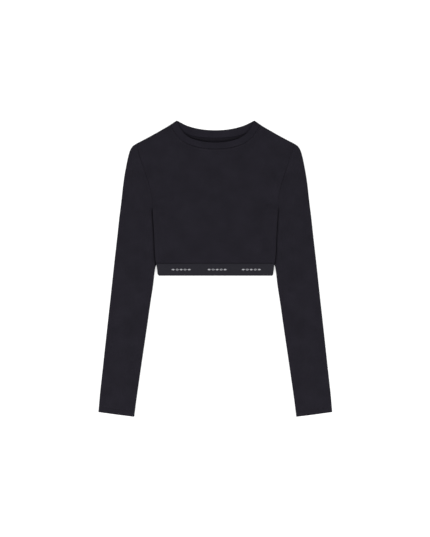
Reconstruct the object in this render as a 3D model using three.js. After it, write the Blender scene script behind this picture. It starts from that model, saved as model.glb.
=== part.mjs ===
// A fitted crop top in black stretch jersey, with long set-in sleeves, a narrow crew neckband and a
// wide elastic band at the hem. It lies flat on its back, front up, with the sleeves brought down
// beside the body and their inner edges tucked a little way under its sides.
//
// Millimetres. X runs to the wearer's left, Y from the hem to the neck, and Z up from the table.
// The garment is worked out with Y = 0 on the hem, and moved at the end so that the origin is the
// middle of the whole garment's outline, on the table.
import * as THREE from "three";

// Cloth: wall thicknesses, and the air between cloth and cloth
const JERSEY = 1.2;
const NECK_RIB = 1.6;
const ELASTIC = 1.6;
const SEAM_GAP = 0.35;
const LAYER_GAP = 0.4;

// Body lengths above the hem, and half widths
const BAND_HEIGHT = 27;
const ARMPIT = { half: 144, up: 165 };
const SHOULDER_TIP = { half: 180.5, up: 303 };
const NECK_CORNER = { half: 88.7, up: 354 };
const NECKBAND_AT_SHOULDER = 15;
const NECKBAND_SHOULDER_TURN = 4;

// The two necklines: their height at the centre, the neckband's width there, and how they rise to
// the neck corner, as shares of the whole rise that go with powers of the distance from the centre
const FRONT_NECK = { up: 304.1, band: 13.8, rise: [{ share: 0.47, power: 2 }, { share: 0.53, power: 7 }] };
const BACK_NECK = { up: 332.9, band: 16.4, rise: [{ share: 1, power: 2.15 }] };

// The air that the cloth keeps inside, and how it lies over the tucked sleeves
const LOFT = 2.5;
const LOFT_REACH = 45;
const HEM_LOFT_SHARE = 0.3;
const HEM_LOFT_REACH = 60;
const LIFT = 3.3;
const LIFT_START = 42;
const LIFT_FULL = 13;
const LIFT_BELOW_ARMPIT = 15;
const LIFT_AT_HEM = 0.15;

// The turned hem at each cuff
const CUFF_HEM = 11;
const CUFF_HEM_STEP = 0.4;
const CUFF_HEM_RAMP_ROWS = 0.02;

// Half width of the body from the hem to the armpit, and on up the armhole seam
const BODY_EDGE = [
  { up: 0, half: 128.6 },
  { up: 1.5, half: 131 },
  { up: 4.5, half: 132.4 },
  { up: 14, half: 133.8 },
  { up: 27, half: 136 },
  { up: 46, half: 138.8 },
  { up: 92, half: 141 },
  { up: 138, half: 143.6 },
  { up: ARMPIT.up, half: ARMPIT.half },
  { up: 190, half: 147.8 },
  { up: 214, half: 153.6 },
  { up: 236, half: 160.8 },
  { up: 258, half: 168.4 },
  { up: 282, half: 175.6 },
  { up: SHOULDER_TIP.up, half: SHOULDER_TIP.half },
];

// The sleeve's sections from armhole to cuff: its outer fold, its inner fold, and how much of the
// inner side is pressed flat under the body
const SLEEVE = [
  { outHalf: 181, outUp: 302.9, inHalf: 144.5, inUp: 165, pressed: 0 },
  { outHalf: 189.9, outUp: 296.6, inHalf: 144.5, inUp: 162, pressed: 0 },
  { outHalf: 195.7, outUp: 287, inHalf: 144.45, inUp: 158.5, pressed: 0 },
  { outHalf: 199.6, outUp: 274, inHalf: 144.4, inUp: 154.5, pressed: 2 },
  { outHalf: 203.7, outUp: 255, inHalf: 144.3, inUp: 150, pressed: 5 },
  { outHalf: 208.4, outUp: 230, inHalf: 144.1, inUp: 144.5, pressed: 8 },
  { outHalf: 212.4, outUp: 201, inHalf: 141.4, inUp: 134, pressed: 10 },
  { outHalf: 216.1, outUp: 167, inHalf: 137, inUp: 121, pressed: 13 },
  { outHalf: 220.4, outUp: 133, inHalf: 133.2, inUp: 104, pressed: 14 },
  { outHalf: 224.7, outUp: 93, inHalf: 131.3, inUp: 79, pressed: 14 },
  { outHalf: 228.8, outUp: 57, inHalf: 132.4, inUp: 45, pressed: 12 },
  { outHalf: 232.5, outUp: 24, inHalf: 138.9, inUp: 13, pressed: 4 },
  { outHalf: 236.6, outUp: -14, inHalf: 143.8, inUp: -25, pressed: 0 },
  { outHalf: 240.8, outUp: -53, inHalf: 149.8, inUp: -64, pressed: 0 },
  { outHalf: 246.9, outUp: -108, inHalf: 157.6, inUp: -119, pressed: 0 },
  { outHalf: 253, outUp: -163.5, inHalf: 165.8, inUp: -174.5, pressed: 0 },
  { outHalf: 259, outUp: -219, inHalf: 173.9, inUp: -230, pressed: 0 },
  { outHalf: 265, outUp: -274, inHalf: 181.7, inUp: -285, pressed: 0 },
  { outHalf: 268.3, outUp: -313.2, inHalf: 186.8, inUp: -324, pressed: 0 },
];
const ARMHOLE_BOW_ROWS = 6;

// Long soft swells of the upper layer, each with its middle, its reach each way and its height
const BODY_SWELLS = [
  { x: -62, up: 226, reachX: 46, reachUp: 62, height: 0.45 },
  { x: 48, up: 132, reachX: 60, reachUp: 44, height: 0.35 },
  { x: 6, up: 196, reachX: 38, reachUp: 50, height: -0.5 },
  { x: -70, up: 96, reachX: 44, reachUp: 38, height: -0.4 },
  { x: 92, up: 214, reachX: 34, reachUp: 46, height: 0.4 },
];
const SLEEVE_SWELLS = [
  { row: 6.5, across: 0.42, reachRow: 1.5, reachAcross: 0.22, height: 0.4 },
  { row: 9, across: 0.36, reachRow: 1.1, reachAcross: 0.26, height: -0.5 },
  { row: 12, across: 0.6, reachRow: 1.2, reachAcross: 0.24, height: 0.4 },
  { row: 14.4, across: 0.4, reachRow: 1.1, reachAcross: 0.22, height: -0.4 },
  { row: 16.2, across: 0.58, reachRow: 0.8, reachAcross: 0.24, height: 0.35 },
];

// How finely each piece is divided
const NECK_STATIONS = [0, 0.14, 0.28, 0.42, 0.55, 0.67, 0.77, 0.85, 0.915, 0.965];
const SHOULDER_FRACTIONS = [0.2, 0.38, 0.53, 0.66, 0.77, 0.87, 0.945, 1];
const PANEL_ROWS = 20;
const SLEEVE_SECTIONS = 28;
const SLEEVE_UPPER_STEPS = 12;
const SLEEVE_LOWER_STEPS = 6;
const BAND_LEVELS = [BAND_HEIGHT - SEAM_GAP, 14, 4.5, 1.5, 0];
const BAND_STEPS = 22;
const NECKBAND_LEVELS = 4;
const FOLD_ANGLES = [90, 135, 180, 225, 270];

const clamp01 = (t) => Math.min(1, Math.max(0, t));
const mix = (a, b, t) => a + (b - a) * t;

// Rises from 0 to 1 with no corner at either end
function ease(t) {
  const k = clamp01(t);
  return k * k * (3 - 2 * k);
}

// A column of a table at a fractional row, on a smooth curve through the rows
function atRow(table, column, row) {
  const i = Math.min(table.length - 2, Math.max(0, Math.floor(row)));
  const value = (k) => table[Math.min(table.length - 1, Math.max(0, k))][column];
  const t = row - i;
  const [p0, p1, p2, p3] = [value(i - 1), value(i), value(i + 1), value(i + 2)];
  const m1 = (p2 - p0) / 2;
  const m2 = (p3 - p1) / 2;
  const t2 = t * t;
  const t3 = t2 * t;
  return (2 * t3 - 3 * t2 + 1) * p1 + (t3 - 2 * t2 + t) * m1 + (3 * t2 - 2 * t3) * p2 + (t3 - t2) * m2;
}

// Half width of the body at a height, along the side and then the armhole
function bodyHalf(up) {
  const y = Math.min(SHOULDER_TIP.up, Math.max(0, up));
  let i = 0;
  while (i < BODY_EDGE.length - 2 && BODY_EDGE[i + 1].up <= y) i += 1;
  const [low, high] = [BODY_EDGE[i], BODY_EDGE[i + 1]];
  return mix(low.half, high.half, (y - low.up) / (high.up - low.up));
}

// The shoulder line runs straight from the neck corner to the shoulder tip
const shoulderVector = new THREE.Vector2(
  SHOULDER_TIP.half - NECK_CORNER.half,
  SHOULDER_TIP.up - NECK_CORNER.up,
);
const shoulderAlong = shoulderVector.clone().normalize();
const shoulderInward = new THREE.Vector2(shoulderAlong.y, -shoulderAlong.x);

function belowShoulder(x, up) {
  return (Math.abs(x) - NECK_CORNER.half) * shoulderInward.x + (up - NECK_CORNER.up) * shoulderInward.y;
}

function insideSide(x, up) {
  if (up < ARMPIT.up) return bodyHalf(up) - Math.abs(x);
  return Math.hypot(Math.abs(x) - ARMPIT.half, up - ARMPIT.up);
}

// Height of the body's underside over the tucked sleeves
function liftAt(x, up) {
  const belowArmpit = ease((ARMPIT.up - up) / LIFT_BELOW_ARMPIT);
  const towardsHem = mix(LIFT_AT_HEM, 1, ease(up / BAND_HEIGHT));
  const inside = bodyHalf(up) - Math.abs(x);
  return LIFT * belowArmpit * towardsHem * ease((LIFT_START - inside) / (LIFT_START - LIFT_FULL));
}

function swell(dx, dy, height) {
  return height * Math.exp(-(dx * dx + dy * dy));
}

// Air between the body's two layers, on top of the gap that they keep everywhere
function bodyLoft(x, up) {
  const edges = ease(belowShoulder(x, up) / LOFT_REACH) * ease(insideSide(x, up) / LOFT_REACH);
  const hem = mix(HEM_LOFT_SHARE, 1, ease(up / HEM_LOFT_REACH));
  const swells = BODY_SWELLS.reduce(
    (sum, s) => sum + swell((x - s.x) / s.reachX, (up - s.up) / s.reachUp, s.height),
    0,
  );
  return edges * hem * (LOFT + swells);
}

// A point of the neckband: a runs from -1 at the right shoulder to 1 at the left one, and w from 0
// at the neckline to 1 at the seam
function neckPoint(isFront, a, w) {
  const neck = isFront ? FRONT_NECK : BACK_NECK;
  const rise = NECK_CORNER.up - neck.up;
  const u = Math.abs(a);
  const up = neck.rise.reduce((sum, r) => sum + r.share * rise * u ** r.power, neck.up);
  const slope = neck.rise.reduce((sum, r) => sum + r.share * rise * r.power * u ** (r.power - 1), 0);
  const turn = u ** NECKBAND_SHOULDER_TURN;
  const away = new THREE.Vector2(slope / NECK_CORNER.half, -1).normalize().lerp(shoulderAlong, turn);
  away.setLength(w * mix(neck.band, NECKBAND_AT_SHOULDER, turn));
  return { x: Math.sign(a || 1) * (NECK_CORNER.half * u + away.x), up: up + away.y };
}

// Collects vertices and triangles into one closed wall
class Wall {
  constructor() {
    this.points = [];
    this.faces = [];
  }

  add(x, up, z) {
    this.points.push(x, up, z);
    return this.points.length / 3 - 1;
  }

  quad(a, b, c, d) {
    this.faces.push(a, b, c, a, c, d);
  }

  mesh(name, material) {
    const geometry = new THREE.BufferGeometry();
    geometry.setAttribute("position", new THREE.Float32BufferAttribute(this.points, 3));
    geometry.setIndex(this.faces);
    geometry.computeVertexNormals();
    const mesh = new THREE.Mesh(geometry, material);
    mesh.name = name;
    return mesh;
  }
}

// A panel: rows of columns of {x, up, top, bottom}, joined by a rim all round
function panelWall(rows) {
  const wall = new Wall();
  const top = rows.map((row) => row.map((p) => wall.add(p.x, p.up, p.top)));
  const bottom = rows.map((row) => row.map((p) => wall.add(p.x, p.up, p.bottom)));
  const lastRow = rows.length - 1;
  const lastColumn = rows[0].length - 1;
  for (let j = 0; j < lastRow; j += 1) {
    for (let i = 0; i < lastColumn; i += 1) {
      wall.quad(top[j][i], top[j][i + 1], top[j + 1][i + 1], top[j + 1][i]);
      wall.quad(bottom[j][i], bottom[j + 1][i], bottom[j + 1][i + 1], bottom[j][i + 1]);
    }
    wall.quad(top[j][0], top[j + 1][0], bottom[j + 1][0], bottom[j][0]);
    wall.quad(top[j + 1][lastColumn], top[j][lastColumn], bottom[j][lastColumn], bottom[j + 1][lastColumn]);
  }
  for (let i = 0; i < lastColumn; i += 1) {
    wall.quad(top[0][i + 1], top[0][i], bottom[0][i], bottom[0][i + 1]);
    wall.quad(top[lastRow][i], top[lastRow][i + 1], bottom[lastRow][i + 1], bottom[lastRow][i]);
  }
  return wall;
}

// A flattened tube: loops of {outer, inner} points from one open end to the other. Seen from the
// first end, each loop runs anticlockwise.
function tubeWall(loops) {
  const wall = new Wall();
  const outer = loops.map((loop) => loop.map((p) => wall.add(...p.outer)));
  const inner = loops.map((loop) => loop.map((p) => wall.add(...p.inner)));
  const count = loops[0].length;
  const end = loops.length - 1;
  for (let i = 0; i < count; i += 1) {
    const n = (i + 1) % count;
    for (let j = 0; j < end; j += 1) {
      wall.quad(outer[j][i], outer[j + 1][i], outer[j + 1][n], outer[j][n]);
      wall.quad(inner[j][i], inner[j][n], inner[j + 1][n], inner[j + 1][i]);
    }
    wall.quad(outer[0][n], inner[0][n], inner[0][i], outer[0][i]);
    wall.quad(outer[end][i], inner[end][i], inner[end][n], outer[end][n]);
  }
  return wall;
}

// The end fold of a flattened tube, from its upper layer round to its lower one: how far in from
// the edge each point lies, and its height
function foldPoints(thickness) {
  const round = thickness + LAYER_GAP / 2;
  return FOLD_ANGLES.map((degrees) => {
    const angle = THREE.MathUtils.degToRad(degrees);
    const [c, s] = [Math.cos(angle), Math.sin(angle)];
    const at = (radius) => ({ inward: round + radius * c, z: round + radius * s });
    return { outer: at(round), inner: at(round - thickness) };
  });
}

// Front and back of the body: columns rise from the hem band to the neck seam or the shoulder
function bodyPanel(isFront) {
  const tops = [];
  for (const a of NECK_STATIONS) tops.push(neckPoint(isFront, a, 1));
  const neckEnd = neckPoint(isFront, 1, 1);
  tops.push(neckEnd);
  for (const f of SHOULDER_FRACTIONS) {
    tops.push({ x: mix(neckEnd.x, SHOULDER_TIP.half, f), up: mix(neckEnd.up, SHOULDER_TIP.up, f) });
  }
  const columns = [...tops.slice(1).reverse().map((p) => ({ x: -p.x, up: p.up })), ...tops];
  const rows = [];
  for (let j = 0; j <= PANEL_ROWS; j += 1) {
    rows.push(
      columns.map((top) => {
        const up = mix(BAND_HEIGHT, top.up, j / PANEL_ROWS);
        const x = (top.x / bodyHalf(top.up)) * bodyHalf(up);
        const bottom = liftAt(x, up) + (isFront ? JERSEY + LAYER_GAP + bodyLoft(x, up) : 0);
        return { x, up, bottom, top: bottom + JERSEY };
      }),
    );
  }
  return panelWall(rows);
}

// Where a point across the sleeve lies: its first section follows the armhole, and the later ones
// straighten out
function sleevePoint(row, across) {
  const out = { half: atRow(SLEEVE, "outHalf", row), up: atRow(SLEEVE, "outUp", row) };
  const inn = { half: atRow(SLEEVE, "inHalf", row), up: atRow(SLEEVE, "inUp", row) };
  const seamUp = mix(SHOULDER_TIP.up, ARMPIT.up, across);
  const bow = bodyHalf(seamUp) - mix(SHOULDER_TIP.half, ARMPIT.half, across);
  const share = 1 - ease(row / ARMHOLE_BOW_ROWS);
  return { half: mix(out.half, inn.half, across) + bow * share, up: mix(out.up, inn.up, across) };
}

function sleeveLoft(row, fromOut, fromIn) {
  const width = fromOut + fromIn;
  const pressed = Math.max(0, atRow(SLEEVE, "pressed", row));
  const edges = ease(fromOut / LOFT_REACH) * ease((fromIn - pressed) / LOFT_REACH);
  const across = fromOut / width;
  const swells = SLEEVE_SWELLS.reduce(
    (sum, s) => sum + swell((row - s.row) / s.reachRow, (across - s.across) / s.reachAcross, s.height),
    0,
  );
  return edges * (LOFT + swells);
}

// The sleeve is one piece of cloth, folded round and closed along the inner fold. side is 1 for
// the wearer's left and -1 for the right.
function sleeve(side) {
  const lastRow = SLEEVE.length - 1;
  const cuffRow = lastRow - CUFF_HEM / (SLEEVE[lastRow - 1].outUp - SLEEVE[lastRow].outUp);
  const stations = [];
  for (let j = 0; j < SLEEVE_SECTIONS; j += 1) {
    stations.push({ row: (cuffRow * j) / (SLEEVE_SECTIONS - 1), hem: 0 });
  }
  stations.push({ row: cuffRow + CUFF_HEM_RAMP_ROWS, hem: CUFF_HEM_STEP });
  stations.push({ row: lastRow, hem: CUFF_HEM_STEP });
  const fold = foldPoints(JERSEY);
  const foldReach = fold[0].outer.inward;
  const loops = stations.map(({ row, hem }) => {
    const [o, n] = [sleevePoint(row, 0), sleevePoint(row, 1)];
    const width = Math.hypot(n.half - o.half, n.up - o.up);
    const place = (fromOut, z) => {
      const p = sleevePoint(row, fromOut / width);
      return [side * p.half, p.up, z];
    };
    const loop = [];
    const upper = (fromOut) => {
      const z = 2 * JERSEY + LAYER_GAP + sleeveLoft(row, fromOut - foldReach, width - foldReach - fromOut);
      return { outer: place(fromOut, z + hem), inner: place(fromOut, z - JERSEY) };
    };
    for (let i = 1; i < SLEEVE_UPPER_STEPS; i += 1) {
      loop.push(upper(mix(foldReach, width - foldReach, i / SLEEVE_UPPER_STEPS)));
    }
    for (const f of fold) {
      const raise = f === fold[0] ? hem : 0;
      loop.push({
        outer: place(width - f.outer.inward, f.outer.z + raise),
        inner: place(width - f.inner.inward, f.inner.z),
      });
    }
    for (let i = 1; i < SLEEVE_LOWER_STEPS; i += 1) {
      const fromOut = mix(width - foldReach, foldReach, i / SLEEVE_LOWER_STEPS);
      loop.push({ outer: place(fromOut, 0), inner: place(fromOut, JERSEY) });
    }
    for (const f of [...fold].reverse()) {
      const raise = f === fold[0] ? hem : 0;
      loop.push({
        outer: place(f.outer.inward, f.outer.z + raise),
        inner: place(f.inner.inward, f.inner.z),
      });
    }
    return side > 0 ? loop.reverse() : loop;
  });
  return tubeWall(loops);
}

// The elastic hem band is one ring, folded at the wearer's two sides
function hemBand() {
  const fold = foldPoints(ELASTIC);
  const foldReach = fold[0].outer.inward;
  const loops = BAND_LEVELS.map((up) => {
    const half = bodyHalf(up);
    const at = (x, z) => [x, up, z + liftAt(x, up)];
    const loop = [];
    for (let i = 1; i < BAND_STEPS; i += 1) {
      const x = mix(foldReach - half, half - foldReach, i / BAND_STEPS);
      const z = 2 * ELASTIC + LAYER_GAP + bodyLoft(x, up);
      loop.push({ outer: at(x, z), inner: at(x, z - ELASTIC) });
    }
    const folded = (side) => (f) => ({
      outer: at(side * (half - f.outer.inward), f.outer.z),
      inner: at(side * (half - f.inner.inward), f.inner.z),
    });
    loop.push(...fold.map(folded(1)));
    for (let i = 1; i < BAND_STEPS; i += 1) {
      const x = mix(half - foldReach, foldReach - half, i / BAND_STEPS);
      loop.push({ outer: at(x, 0), inner: at(x, ELASTIC) });
    }
    loop.push(...fold.map(folded(-1)).reverse());
    return loop;
  });
  return tubeWall(loops);
}

// The neckband is one ring of doubled rib, folded at the two shoulders
function neckband() {
  const fold = foldPoints(NECK_RIB);
  const nearFold = NECK_STATIONS[NECK_STATIONS.length - 1];
  const seamEnd = 1 - SEAM_GAP / NECKBAND_AT_SHOULDER;
  const levels = Array.from({ length: NECKBAND_LEVELS }, (_, k) => (seamEnd * k) / (NECKBAND_LEVELS - 1));
  const loops = levels.map((w) => {
    const front = (a) => {
      const p = neckPoint(true, a, w);
      const z = 2 * NECK_RIB + LAYER_GAP + bodyLoft(p.x, p.up);
      return { outer: [p.x, p.up, z], inner: [p.x, p.up, z - NECK_RIB] };
    };
    const back = (a) => {
      const p = neckPoint(false, a, w);
      return { outer: [p.x, p.up, 0], inner: [p.x, p.up, NECK_RIB] };
    };
    const folded = (side) => (f, k) => {
      const corner = neckPoint(true, side, w);
      const frontShare = (1 + Math.sign(180 - FOLD_ANGLES[k])) / 2;
      const along = (isFront, inward) => {
        const near = neckPoint(isFront, side * nearFold, w);
        const nearInward = belowShoulder(near.x, near.up);
        const t = inward / nearInward;
        return { x: mix(corner.x, near.x, t), up: mix(corner.up, near.up, t) };
      };
      const at = (p) => {
        const upper = along(true, p.inward);
        const lower = along(false, p.inward);
        return [mix(lower.x, upper.x, frontShare), mix(lower.up, upper.up, frontShare), p.z];
      };
      return { outer: at(f.outer), inner: at(f.inner) };
    };
    const steps = [...NECK_STATIONS.slice(1).reverse().map((a) => -a), ...NECK_STATIONS];
    return [
      ...steps.map(front),
      ...fold.map(folded(1)),
      ...[...steps].reverse().map(back),
      ...fold.map(folded(-1)).reverse(),
    ];
  });
  return tubeWall(loops);
}

const jersey = new THREE.MeshStandardMaterial({ color: "#25232a", roughness: 0.95, metalness: 0 });
const rib = new THREE.MeshStandardMaterial({ color: "#26242b", roughness: 0.95, metalness: 0 });
const elastic = new THREE.MeshStandardMaterial({ color: "#2d2b31", roughness: 0.85, metalness: 0 });

const cuffEnd = SLEEVE[SLEEVE.length - 1].inUp;
const top = new THREE.Group();
top.add(
  bodyPanel(false).mesh("back", jersey),
  bodyPanel(true).mesh("front", jersey),
  sleeve(1).mesh("sleeve_left", jersey),
  sleeve(-1).mesh("sleeve_right", jersey),
  neckband().mesh("neckband", rib),
  hemBand().mesh("hem_band", elastic),
);
top.position.y = -(NECK_CORNER.up + cuffEnd) / 2;

const garment = new THREE.Group();
garment.add(top);

export default garment;
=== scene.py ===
import math

import bpy
import numpy as np
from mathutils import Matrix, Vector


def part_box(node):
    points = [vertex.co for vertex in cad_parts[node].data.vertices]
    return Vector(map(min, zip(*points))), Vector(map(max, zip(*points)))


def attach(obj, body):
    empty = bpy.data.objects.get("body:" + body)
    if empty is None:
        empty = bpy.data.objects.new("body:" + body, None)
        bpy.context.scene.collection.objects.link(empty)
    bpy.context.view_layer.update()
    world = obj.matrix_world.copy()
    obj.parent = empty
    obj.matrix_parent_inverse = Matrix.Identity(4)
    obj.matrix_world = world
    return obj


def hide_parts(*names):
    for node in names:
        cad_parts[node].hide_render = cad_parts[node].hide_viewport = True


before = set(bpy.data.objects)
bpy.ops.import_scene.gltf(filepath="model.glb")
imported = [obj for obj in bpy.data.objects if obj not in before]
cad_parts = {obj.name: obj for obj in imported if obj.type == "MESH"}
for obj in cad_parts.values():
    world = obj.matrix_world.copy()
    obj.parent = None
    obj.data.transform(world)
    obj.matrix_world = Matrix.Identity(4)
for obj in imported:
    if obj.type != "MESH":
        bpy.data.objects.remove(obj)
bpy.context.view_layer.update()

# Body. A front and a back, each one piece of fine black cotton and elastane jersey cut on the fold,
# overlocked to each other at the shoulders and sides. The back lies flat on the surface, the front
# lies on it over a little trapped air, and the sides ride over the tucked inner edges of the sleeves.
MM = 0.001
BAND_HEIGHT = 27.0
NECKBAND_HEIGHT = 15.0
ARMPIT_HALF, ARMPIT_UP = 144.0, 165.0
TIP_HALF, TIP_UP = 180.5, 303.0
CORNER_HALF, CORNER_UP = 88.7, 354.0
FOLDED = 2.8
JERSEY = 0.7
LOFT, LOFT_REACH = 2.5, 45.0
HEM_LOFT_SHARE, HEM_LOFT_REACH = 0.3, 60.0
LIFT, LIFT_START, LIFT_FULL = 3.3, 42.0, 13.0
LIFT_BELOW_ARMPIT, LIFT_AT_HEM = 15.0, 0.15
SIDE_ROLL, SIDE_SEAM_AT, SIDE_PUFF = 3.0, 0.55, 0.5
SHOULDER_ROLL, SHOULDER_HOLLOW = 1.9, 0.9
ARMHOLE_SEAM = dict(depth=1.25, floor=0.2, wall=1.5)
NECK_SEAM = dict(depth=2.0, floor=0.6, wall=1.7)
HEM_SEAM = dict(depth=1.7, floor=1.0, wall=1.6)
NECK_TURNING, NECK_TURNING_HEIGHT = 5.9, 0.6
HEM_TURNING, HEM_TURNING_HEIGHT = 8.8, 0.45
NECK_EDGE_AT, HEM_EDGE_UNDER = 0.975, 0.4
UNEVEN, PUCKER = 0.09, 0.075

# The hem's place in the frame: every height below is counted in millimetres from the hem.
HEM_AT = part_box("hem_band")[0][1] / MM


def ease(t):
    """From 0 to 1 with soft ends."""
    t = np.clip(t, 0.0, 1.0)
    return t * t * (3.0 - 2.0 * t)


def blend(a, b, t):
    """From a to b as t goes from 0 to 1."""
    return a + (b - a) * t


def smooth_curve(points):
    """A function on a smooth line through the points, with no overshoot between them."""
    x, y = np.array(points, float).T
    step = np.diff(y) / np.diff(x)
    both = step[:-1] * step[1:]
    slope = np.concatenate([step[:1], np.zeros(len(x) - 2), step[-1:]])
    turns = both > 0
    slope[1:-1][turns] = 2 * both[turns] / (step[:-1] + step[1:])[turns]

    def value(at):
        at = np.clip(at, x[0], x[-1])
        i = np.clip(np.searchsorted(x, at, side="right") - 1, 0, len(x) - 2)
        width = x[i + 1] - x[i]
        t = (at - x[i]) / width
        rise = ease(t)
        bend_in = t * (1 - t) ** 2 * width * slope[i]
        bend_out = t * t * (1 - t) * width * slope[i + 1]
        return y[i] * (1 - rise) + y[i + 1] * rise + bend_in - bend_out

    return value


# Half the body's width at each height, up the side and then the armhole.
body_half = smooth_curve(
    [
        (0, 129.9),
        (1.5, 131.3),
        (4.5, 132.4),
        (14, 133.8),
        (BAND_HEIGHT, 135.8),
        (46, 138.2),
        (92, 140.2),
        (138, 142.9),
        (ARMPIT_UP, ARMPIT_HALF),
        (190, 147.8),
        (214, 153.6),
        (236, 160.8),
        (258, 168.4),
        (282, 175.6),
        (TIP_UP, TIP_HALF),
    ]
)

shoulder_run = np.array([TIP_HALF - CORNER_HALF, TIP_UP - CORNER_UP])
shoulder_along = shoulder_run / np.hypot(*shoulder_run)
shoulder_inward = np.array([shoulder_along[1], -shoulder_along[0]])


def below_shoulder(x, up):
    """Distance in from the line of the shoulder seam."""
    return (np.abs(x) - CORNER_HALF) * shoulder_inward[0] + (up - CORNER_UP) * shoulder_inward[1]


def lift(x, up):
    """Height of the body's underside, where it rides over a sleeve."""
    near_side = ease((LIFT_START - body_half(up) + np.abs(x)) / (LIFT_START - LIFT_FULL))
    below_armpit = ease((ARMPIT_UP - up) / LIFT_BELOW_ARMPIT)
    return LIFT * near_side * below_armpit * blend(LIFT_AT_HEM, 1.0, ease(up / BAND_HEIGHT))


# Long soft swells of the upper layer: middle, reach each way, and height.
body_swells = [
    dict(x=-62, up=226, reach_x=46, reach_up=62, height=0.45),
    dict(x=48, up=132, reach_x=60, reach_up=44, height=0.35),
    dict(x=6, up=196, reach_x=38, reach_up=50, height=-0.5),
    dict(x=-70, up=96, reach_x=44, reach_up=38, height=-0.4),
    dict(x=92, up=214, reach_x=34, reach_up=46, height=0.4),
    dict(x=0, up=302, reach_x=62, reach_up=26, height=-1.1),
]


def near_middle(s, x, up):
    """1 at the middle of a swell or a shift, fading to 0 round it."""
    aside, above = (x - s["x"]) / s["reach_x"], (up - s["up"]) / s["reach_up"]
    return np.exp(-(aside**2) - above**2)


def loft(x, up):
    """Air between the front and the back."""
    from_armpit = np.hypot(np.abs(x) - ARMPIT_HALF, up - ARMPIT_UP)
    inside = np.where(up < ARMPIT_UP, body_half(up) - np.abs(x), from_armpit)
    edges = ease(below_shoulder(x, up) / LOFT_REACH) * ease(inside / LOFT_REACH)
    height = LOFT
    for s in body_swells:
        height = height + s["height"] * near_middle(s, x, up)
    return edges * blend(HEM_LOFT_SHARE, 1.0, ease(up / HEM_LOFT_REACH)) * height


# Creases: where each starts and ends, how far it bows sideways, its half width and its height. A
# ridge has a shallow trough along each side.
front_creases = [
    dict(start=(-150, 172), end=(-96, 236), bow=7, width=6.5, height=0.75),
    dict(start=(-140, 160), end=(-72, 190), bow=5, width=7, height=0.6),
    dict(start=(-139, 141), end=(-92, 128), bow=-4, width=6, height=0.45),
    dict(start=(148, 178), end=(110, 252), bow=-9, width=6, height=0.7),
    dict(start=(141, 163), end=(84, 206), bow=-6, width=7.5, height=0.6),
    dict(start=(140, 148), end=(100, 138), bow=5, width=5.5, height=0.45),
    dict(start=(-112, 322), end=(-84, 262), bow=6, width=9, height=0.45),
    dict(start=(108, 326), end=(92, 268), bow=-5, width=8, height=0.4),
    dict(start=(-30, 60), end=(44, 74), bow=6, width=10, height=0.4),
    dict(start=(118, 78), end=(84, 44), bow=-5, width=8, height=0.55),
    dict(start=(-122, 70), end=(-92, 36), bow=4, width=7, height=0.4),
    dict(start=(-20, 262), end=(26, 214), bow=-8, width=12, height=0.35),
]
back_creases = [
    dict(start=(-146, 170), end=(-90, 214), bow=6, width=7, height=0.5),
    dict(start=(143, 166), end=(80, 196), bow=-6, width=7, height=0.5),
]


def creases(x, up, rows):
    """The creases' height: each fades in and out along its run, and widens towards its end."""
    total = np.zeros(np.broadcast(x, up).shape)
    for c in rows:
        start, end = np.array(c["start"], float), np.array(c["end"], float)
        run = end - start
        length = np.hypot(*run)
        t = ((x - start[0]) * run[0] + (up - start[1]) * run[1]) / length**2
        side = ((x - start[0]) * -run[1] + (up - start[1]) * run[0]) / length
        side = side - c["bow"] * 4 * np.clip(t, 0, 1) * (1 - np.clip(t, 0, 1))
        taper = ease((t + 0.12) / 0.4) * ease((1.12 - t) / 0.55)
        spread = c["width"] * (0.8 + 0.5 * np.clip(t, 0, 1))
        across = (side / spread) ** 2
        total += c["height"] * taper * (1.35 * np.exp(-across) - 0.35 * np.exp(-across / 6))
    return total


def neck_point(is_front, a, w):
    """A point on the neckband.

    a goes from -1 at one shoulder to 1 at the other, and w from 0 at the edge to 1 at the seam.
    """
    up_centre, band, swell = (305.0, 14.1, 0.0) if is_front else (333.4, 16.9, 2.0)
    rise = CORNER_UP - up_centre
    powers = [(0.47, 2), (0.53, 7)] if is_front else [(1.0, 2.15)]
    u = np.abs(a)
    up = up_centre + rise * sum(share * u**power for share, power in powers)
    slope = sum(share * rise * power * u ** (power - 1) for share, power in powers) / CORNER_HALF
    turn = u**4
    away = np.stack([slope, -np.ones_like(u)]) / np.hypot(slope, 1.0)
    away = away * (1 - turn) + shoulder_along[:, None] * turn
    deep = blend(band, NECKBAND_HEIGHT, turn) + swell * 4 * u**2 * (1 - u**2)
    away = away / np.hypot(*away) * w * deep
    side = np.where(a < 0, -1.0, 1.0)
    return side * (CORNER_HALF * u + away[0]), up + away[1]


# Waves of the relaxed cloth: length, direction and phase.
cloth_waves = [
    (71, 0.3, 0.5),
    (53, 1.9, 2.1),
    (43, 2.7, 4.0),
    (37, 1.1, 5.2),
    (29, 0.1, 1.4),
    (24, 2.2, 3.3),
]


def unevenness(x, up):
    """The slight waviness of cloth that nothing stretches."""
    total, longest = 0.0, cloth_waves[0][0]
    for length, direction, phase in cloth_waves:
        along = x * math.cos(direction) + up * math.sin(direction)
        total = total + length / longest * np.sin(2 * math.pi * along / length + phase)
    return UNEVEN * total


def puckers(along, distance):
    """Small uneven ripples beside a seam."""
    ripple = np.sin(along / 1.9) + np.sin(along / 2.7 + 1.3) + np.sin(along / 4.3 + 0.4)
    return PUCKER * ripple * np.exp(-((distance / 7.0) ** 2))


def front_height(x, up):
    """The front's outer surface, clear of its seams."""
    return lift(x, up) + FOLDED + loft(x, up) + creases(x, up, front_creases)


def rolled(distance, depth, reach):
    """How far a surface has turned down at a distance from its fold, on a quarter of an ellipse."""
    near = 1.0 - np.clip(distance / reach, 0.0, 1.0)
    return depth * (1.0 - np.sqrt(1.0 - near**2))


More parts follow.
